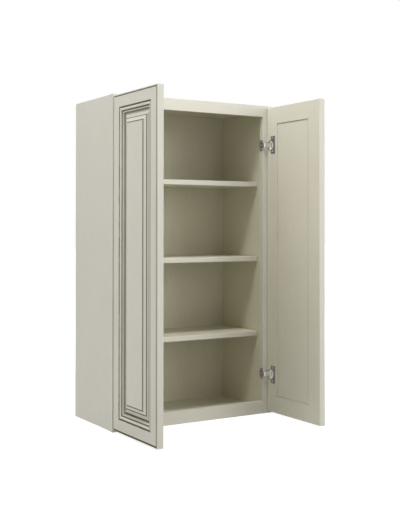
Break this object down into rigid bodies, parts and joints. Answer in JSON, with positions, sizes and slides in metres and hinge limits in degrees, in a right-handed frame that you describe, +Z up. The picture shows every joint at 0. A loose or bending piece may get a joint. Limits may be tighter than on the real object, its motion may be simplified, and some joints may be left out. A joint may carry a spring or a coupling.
{
  "type": "wall cabinet",
  "caption": "Tall framed wall cabinet with raised-panel doors on concealed hinges and adjustable shelves inside.",
  "frame": {"origin": "centre of the back face, where the cabinet meets the wall", "axes": "+Y into the wall, -Y out of the front of the cabinet, +X to the right seen from the front, +Z up"},
  "size_m": [0.6096, 0.6049, 1.0668],
  "materials": {
    "cream_paint": "sprayed satin cream paint over hardwood and plywood, with a brown glaze left in the door's grooves",
    "hinge_steel": "nickel-plated pressed steel",
    "bright_screw": "bright zinc-plated screws",
    "shelf_pin_steel": "nickel-plated shelf pins"
  },
  "bodies": {
    "cabinet": {"left_side_panel": "cream_paint", "right_side_panel": "cream_paint", "top_panel": "cream_paint", "bottom_panel": "cream_paint", "back_panel": "cream_paint", "left_frame_stile": "cream_paint", "right_frame_stile": "cream_paint", "top_frame_rail": "cream_paint", "bottom_frame_rail": "cream_paint", "lower_shelf": "cream_paint", "middle_shelf": "cream_paint", "upper_shelf": "cream_paint", "lower_shelf_pins": "shelf_pin_steel", "middle_shelf_pins": "shelf_pin_steel", "upper_shelf_pins": "shelf_pin_steel", "left_upper_hinge_plate": "hinge_steel", "left_upper_hinge_arm": "hinge_steel", "left_upper_plate_screws": "bright_screw", "left_lower_hinge_plate": "hinge_steel", "left_lower_hinge_arm": "hinge_steel", "left_lower_plate_screws": "bright_screw", "right_upper_hinge_plate": "hinge_steel", "right_upper_hinge_arm": "hinge_steel", "right_upper_plate_screws": "bright_screw", "right_lower_hinge_plate": "hinge_steel", "right_lower_hinge_arm": "hinge_steel", "right_lower_plate_screws": "bright_screw"},
    "left_door": {"left_door_hinge_stile": "cream_paint", "left_door_meeting_stile": "cream_paint", "left_door_top_rail": "cream_paint", "left_door_bottom_rail": "cream_paint", "left_door_panel": "cream_paint", "left_upper_hinge_cup": "hinge_steel", "left_upper_hinge_pin": "hinge_steel", "left_upper_cup_screws": "bright_screw", "left_lower_hinge_cup": "hinge_steel", "left_lower_hinge_pin": "hinge_steel", "left_lower_cup_screws": "bright_screw"},
    "right_door": {"right_door_hinge_stile": "cream_paint", "right_door_meeting_stile": "cream_paint", "right_door_top_rail": "cream_paint", "right_door_bottom_rail": "cream_paint", "right_door_panel": "cream_paint", "right_upper_hinge_cup": "hinge_steel", "right_upper_hinge_pin": "hinge_steel", "right_upper_cup_screws": "bright_screw", "right_lower_hinge_cup": "hinge_steel", "right_lower_hinge_pin": "hinge_steel", "right_lower_cup_screws": "bright_screw"}
  },
  "joints": [
    {"name": "left_door_hinge", "type": "hinge", "parent": "cabinet", "child": "left_door", "pos_m": [-0.29059, -0.3158, 0], "axis": [0, 0, -1], "range_deg": [-90, 15]},
    {"name": "right_door_hinge", "type": "hinge", "parent": "cabinet", "child": "right_door", "pos_m": [0.29059, -0.3158, 0], "axis": [0, 0, 1], "range_deg": [-90, 15]}
  ]
}
